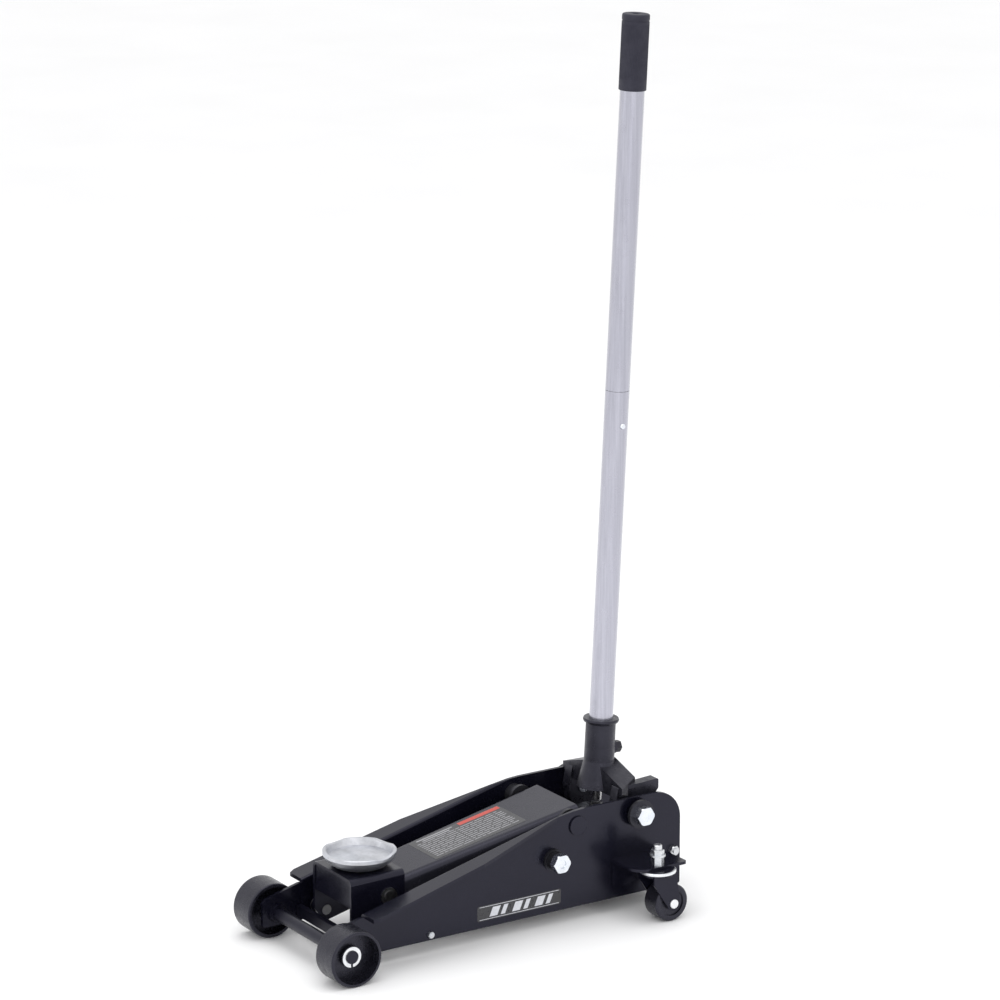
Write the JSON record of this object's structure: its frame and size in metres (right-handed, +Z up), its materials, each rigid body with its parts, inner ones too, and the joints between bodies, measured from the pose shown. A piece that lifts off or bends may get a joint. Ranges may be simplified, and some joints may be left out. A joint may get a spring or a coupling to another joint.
{
  "type": "hydraulic floor jack",
  "caption": "Low steel trolley jack with a hinged lift arm, level-keeping saddle, hydraulic ram and an upright two-piece pump handle on a cast socket.",
  "frame": {"origin": "on the ground under the middle of the jack's overall length and width", "axes": "+Z up, +Y towards the handle and casters, -Y towards the saddle and front wheels, +X to the side whose plate carries the pump roller's cheek"},
  "size_m": [0.327, 0.584, 1.2154],
  "materials": {
    "side_plate_right": "gloss black paint on pressed steel",
    "side_plate_left": "gloss black paint on pressed steel",
    "front_crossbar": "gloss black paint on flat steel bar",
    "tie_rods": "zinc plated steel rod",
    "tie_rod_nuts": "zinc plated steel",
    "rear_cross_plate": "gloss black paint on steel plate",
    "front_axle": "black painted steel bar",
    "axle_clips": "bright zinc spring steel",
    "lift_pivot_shaft": "black painted steel shaft",
    "lift_pivot_collars": "black oxide steel collars",
    "link_bolts": "bright zinc plated bolt",
    "handle_pivot_bolts": "bright zinc plated bolt",
    "pivot_bolt_washers": "black painted washer",
    "pivot_bolt_spacers": "black painted spacer",
    "caster_brackets": "gloss black paint on steel",
    "caster_studs": "zinc plated stud",
    "caster_race_rings": "bright zinc bearing race",
    "caster_stud_nuts": "zinc plated nuts",
    "pump_base": "black painted rough casting",
    "pump_base_bolts": "dark steel bolts",
    "ram_cylinder": "black painted steel tube",
    "oil_tank": "black painted steel tube",
    "cylinder_gland_nut": "turned steel nut",
    "return_springs": "oiled spring steel wire",
    "pump_barrel": "turned steel",
    "plunger_spring": "oiled spring steel wire",
    "lift_arm": "gloss black paint on pressed steel",
    "arm_levers": "black painted steel plate",
    "lever_pin": "ground steel pin",
    "connecting_rods": "black painted flat bar",
    "saddle_bracket": "gloss black paint on pressed steel",
    "bracket_front_plate": "black paint on steel plate",
    "arm_end_pin": "steel pin",
    "link_end_pin": "steel pin",
    "cross_pin_rings": "spring steel rings",
    "saddle": "zinc plated casting with a wavy rim",
    "saddle_retaining_ring": "spring steel ring",
    "ram": "ground and plated rod",
    "ram_head": "machined casting",
    "pump_plunger": "ground steel plunger",
    "release_spindle": "turned steel",
    "handle_socket": "black painted casting",
    "socket_clamp_screw": "black oxide screw",
    "pump_roller_pin": "ground steel pin",
    "pump_roller": "hardened steel roller",
    "lower_handle_tube": "silver satin paint on steel tube",
    "upper_handle_tube": "silver satin paint on steel tube",
    "handle_joint_sleeve": "plain steel tube",
    "handle_grip": "matte knurled rubber",
    "snap_button_spring": "spring steel leaf",
    "release_foot": "steel plug",
    "snap_button": "bright steel button",
    "front_wheel_right": "black painted cast iron",
    "front_wheel_left": "black painted cast iron",
    "caster_fork_right": "black painted pressed steel",
    "caster_rivet_right": "bright zinc rivet",
    "caster_fork_left": "black painted pressed steel",
    "caster_rivet_left": "bright zinc rivet",
    "caster_wheel_right": "black moulded nylon",
    "caster_wheel_left": "black moulded nylon"
  },
  "bodies": {
    "frame_body": {"side_plate_right": "side_plate_right", "side_plate_left": "side_plate_left", "front_crossbar": "front_crossbar", "tie_rods": "tie_rods", "tie_rod_nuts": "tie_rod_nuts", "rear_cross_plate": "rear_cross_plate", "front_axle": "front_axle", "axle_clips": "axle_clips", "lift_pivot_shaft": "lift_pivot_shaft", "lift_pivot_collars": "lift_pivot_collars", "link_bolts": "link_bolts", "handle_pivot_bolts": "handle_pivot_bolts", "pivot_bolt_washers": "pivot_bolt_washers", "pivot_bolt_spacers": "pivot_bolt_spacers", "caster_brackets": "caster_brackets", "caster_studs": "caster_studs", "caster_race_rings": "caster_race_rings", "caster_stud_nuts": "caster_stud_nuts", "pump_base": "pump_base", "pump_base_bolts": "pump_base_bolts", "ram_cylinder": "ram_cylinder", "oil_tank": "oil_tank", "cylinder_gland_nut": "cylinder_gland_nut", "return_springs": "return_springs", "pump_barrel": "pump_barrel", "plunger_spring": "plunger_spring"},
    "lift_arm_body": {"lift_arm": "lift_arm", "arm_levers": "arm_levers", "lever_pin": "lever_pin"},
    "connecting_rod_body": {"connecting_rods": "connecting_rods"},
    "head_body": {"saddle_bracket": "saddle_bracket", "bracket_front_plate": "bracket_front_plate", "arm_end_pin": "arm_end_pin", "link_end_pin": "link_end_pin", "cross_pin_rings": "cross_pin_rings"},
    "saddle_body": {"saddle": "saddle", "saddle_retaining_ring": "saddle_retaining_ring"},
    "ram_body": {"ram": "ram", "ram_head": "ram_head"},
    "plunger_body": {"pump_plunger": "pump_plunger"},
    "release_body": {"release_spindle": "release_spindle"},
    "socket_body": {"handle_socket": "handle_socket", "socket_clamp_screw": "socket_clamp_screw", "pump_roller_pin": "pump_roller_pin"},
    "roller_body": {"pump_roller": "pump_roller"},
    "handle_body": {"lower_handle_tube": "lower_handle_tube", "upper_handle_tube": "upper_handle_tube", "handle_joint_sleeve": "handle_joint_sleeve", "handle_grip": "handle_grip", "snap_button_spring": "snap_button_spring", "release_foot": "release_foot"},
    "button_body": {"snap_button": "snap_button"},
    "front_wheel_right_body": {"front_wheel_right": "front_wheel_right"},
    "front_wheel_left_body": {"front_wheel_left": "front_wheel_left"},
    "caster_right_body": {"caster_fork_right": "caster_fork_right", "caster_rivet_right": "caster_rivet_right"},
    "caster_left_body": {"caster_fork_left": "caster_fork_left", "caster_rivet_left": "caster_rivet_left"},
    "caster_wheel_right_body": {"caster_wheel_right": "caster_wheel_right"},
    "caster_wheel_left_body": {"caster_wheel_left": "caster_wheel_left"}
  },
  "joints": [
    {"name": "lift_arm_hinge", "type": "hinge", "parent": "frame_body", "child": "lift_arm_body", "pos_m": [0, 0.123, 0.1365], "axis": [-1, 0, 0], "range_deg": [0, 70]},
    {"name": "connecting_rod_hinge", "type": "hinge", "parent": "frame_body", "child": "connecting_rod_body", "pos_m": [0, 0.083, 0.096], "axis": [-1, 0, 0], "range_deg": [0, 70]},
    {"name": "saddle_head_hinge", "type": "hinge", "parent": "lift_arm_body", "child": "head_body", "pos_m": [0, -0.156, 0.082], "axis": [-1, 0, 0], "range_deg": [-70, 0]},
    {"name": "saddle_swivel", "type": "hinge", "parent": "head_body", "child": "saddle_body", "pos_m": [0, -0.171, 0.114], "axis": [0, 0, 1], "continuous": true},
    {"name": "ram_slide", "type": "slide", "parent": "frame_body", "child": "ram_body", "axis": [0, -1, 0], "range_m": [0, 0.0525], "deforming": ["return_springs"]},
    {"name": "handle_pivot", "type": "hinge", "parent": "frame_body", "child": "socket_body", "pos_m": [0, 0.22, 0.137], "axis": [-1, 0, 0], "range_deg": [0, 52], "stiffness_Nm_per_rad": 16, "springref_deg": -20.05},
    {"name": "pump_plunger_slide", "type": "slide", "parent": "frame_body", "child": "plunger_body", "axis": [0, -1, 0], "range_m": [0, 0.0235], "deforming": ["plunger_spring"]},
    {"name": "pump_roller_spin", "type": "hinge", "parent": "socket_body", "child": "roller_body", "pos_m": [0.03625, 0.223, 0.111], "axis": [1, 0, 0], "continuous": true},
    {"name": "handle_twist", "type": "hinge", "parent": "socket_body", "child": "handle_body", "pos_m": [0, 0.21, 0.13], "axis": [0, 0.0506, 0.9987], "range_deg": [0, 180]},
    {"name": "release_valve_turn", "type": "hinge", "parent": "frame_body", "child": "release_body", "pos_m": [0, 0.209, 0.122], "axis": [0, 0, 1], "range_deg": [0, 180]},
    {"name": "snap_button_press", "type": "slide", "parent": "handle_body", "child": "button_body", "axis": [-1, 0, 0], "range_m": [0, 0.004], "stiffness_N_per_m": 400, "springref_m": -0.002},
    {"name": "front_wheel_right_spin", "type": "hinge", "parent": "frame_body", "child": "front_wheel_right_body", "pos_m": [0.108, -0.254, 0.038], "axis": [1, 0, 0], "continuous": true},
    {"name": "front_wheel_left_spin", "type": "hinge", "parent": "frame_body", "child": "front_wheel_left_body", "pos_m": [-0.108, -0.254, 0.038], "axis": [1, 0, 0], "continuous": true},
    {"name": "caster_right_swivel", "type": "hinge", "parent": "frame_body", "child": "caster_right_body", "pos_m": [0.138, 0.2155, 0.066], "axis": [0, 0, 1], "continuous": true},
    {"name": "caster_wheel_right_spin", "type": "hinge", "parent": "caster_right_body", "child": "caster_wheel_right_body", "pos_m": [0.138, 0.23, 0.026], "axis": [1, 0, 0], "continuous": true},
    {"name": "caster_left_swivel", "type": "hinge", "parent": "frame_body", "child": "caster_left_body", "pos_m": [-0.138, 0.2155, 0.066], "axis": [0, 0, 1], "continuous": true},
    {"name": "caster_wheel_left_spin", "type": "hinge", "parent": "caster_left_body", "child": "caster_wheel_left_body", "pos_m": [-0.138, 0.23, 0.026], "axis": [1, 0, 0], "continuous": true}
  ],
  "couplings": [
    {"joint": "connecting_rod_hinge", "follows": "lift_arm_hinge", "ratio": 1},
    {"joint": "saddle_head_hinge", "follows": "lift_arm_hinge", "ratio": -1},
    {"joint": "ram_slide", "follows": "lift_arm_hinge", "m_per_rad": 0.0427},
    {"joint": "pump_plunger_slide", "follows": "handle_pivot", "m_per_rad": 0.0255},
    {"joint": "release_valve_turn", "follows": "handle_twist", "ratio": 1}
  ]
}
